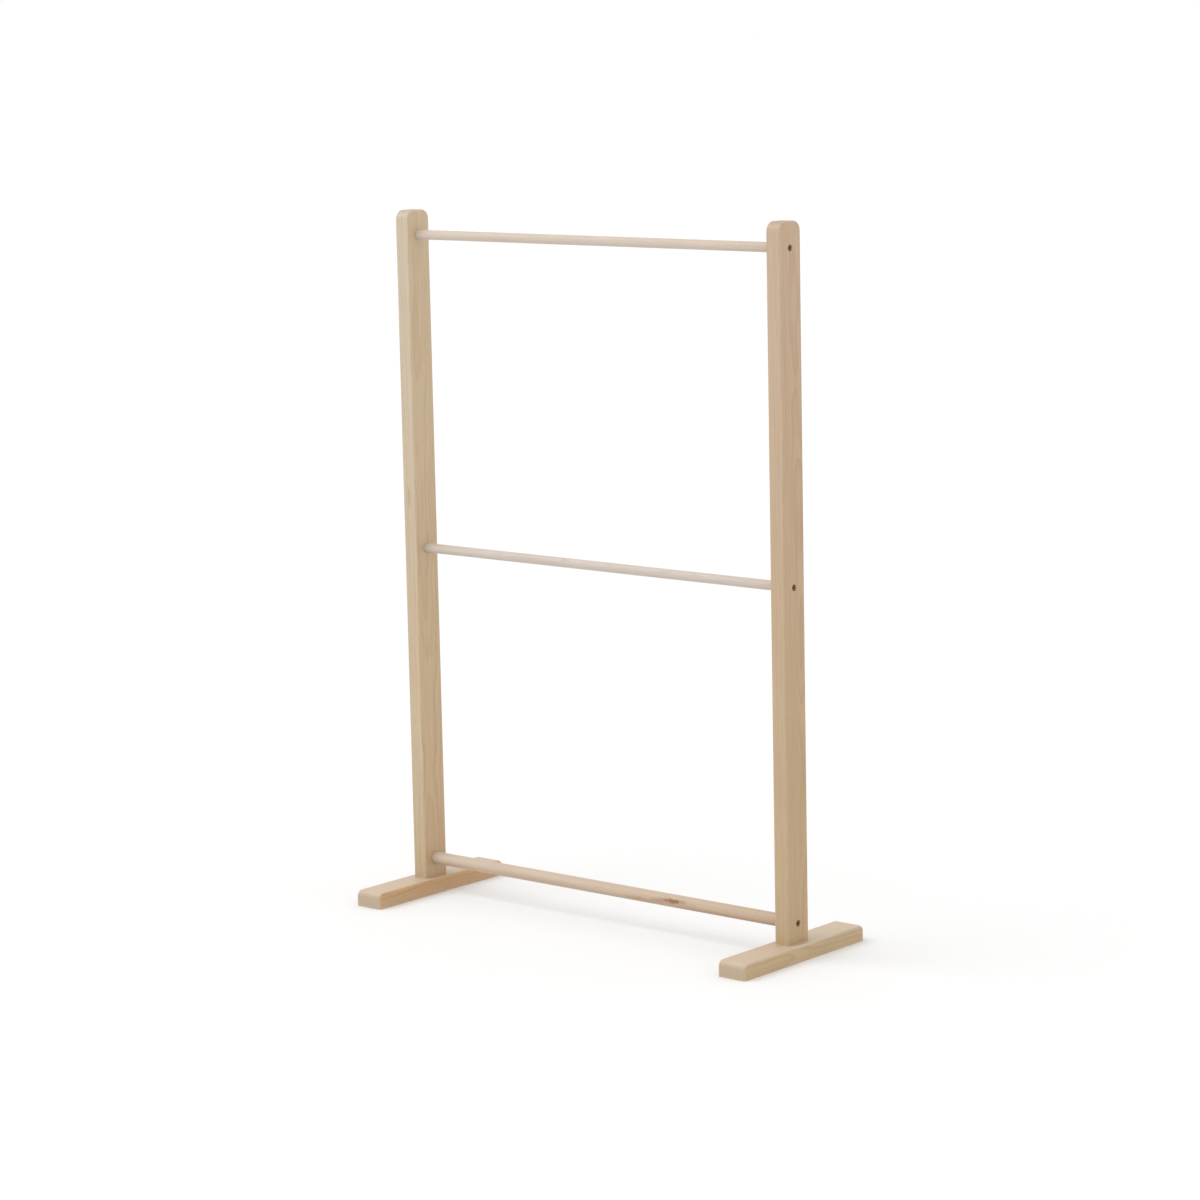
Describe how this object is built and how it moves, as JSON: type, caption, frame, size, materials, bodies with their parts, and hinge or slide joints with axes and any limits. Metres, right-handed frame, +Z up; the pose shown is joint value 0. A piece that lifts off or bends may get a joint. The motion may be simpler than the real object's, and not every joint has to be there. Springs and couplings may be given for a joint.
{
  "type": "free-standing dowel rack",
  "caption": "Free-standing wooden dowel rack for towels: flat posts on flat feet, joined by round horizontal rails held by screws.",
  "frame": {"origin": "on the floor, at the middle of the rack: midway between the posts and midway along the feet", "axes": "+Z up, from the feet to the tops of the posts; +X to the right, along the rails; +Y to the back, along the feet, so the front faces -Y"},
  "size_m": [0.625, 0.234, 0.875],
  "materials": {
    "post_wood": "bare sanded softwood, pale tan",
    "foot_wood": "bare sanded softwood, pale tan",
    "rail_wood": "bare turned dowel, paler than the posts",
    "screw_steel": "dark bronze plating, satin"
  },
  "bodies": {
    "root": {"left_post": "post_wood", "right_post": "post_wood", "left_foot": "foot_wood", "right_foot": "foot_wood", "top_rail": "rail_wood", "middle_rail": "rail_wood", "bottom_rail": "rail_wood", "left_top_rail_screw": "screw_steel", "left_middle_rail_screw": "screw_steel", "left_bottom_rail_screw": "screw_steel", "right_top_rail_screw": "screw_steel", "right_middle_rail_screw": "screw_steel", "right_bottom_rail_screw": "screw_steel", "left_foot_front_screw": "screw_steel", "left_foot_back_screw": "screw_steel", "right_foot_front_screw": "screw_steel", "right_foot_back_screw": "screw_steel"}
  },
  "joints": []
}
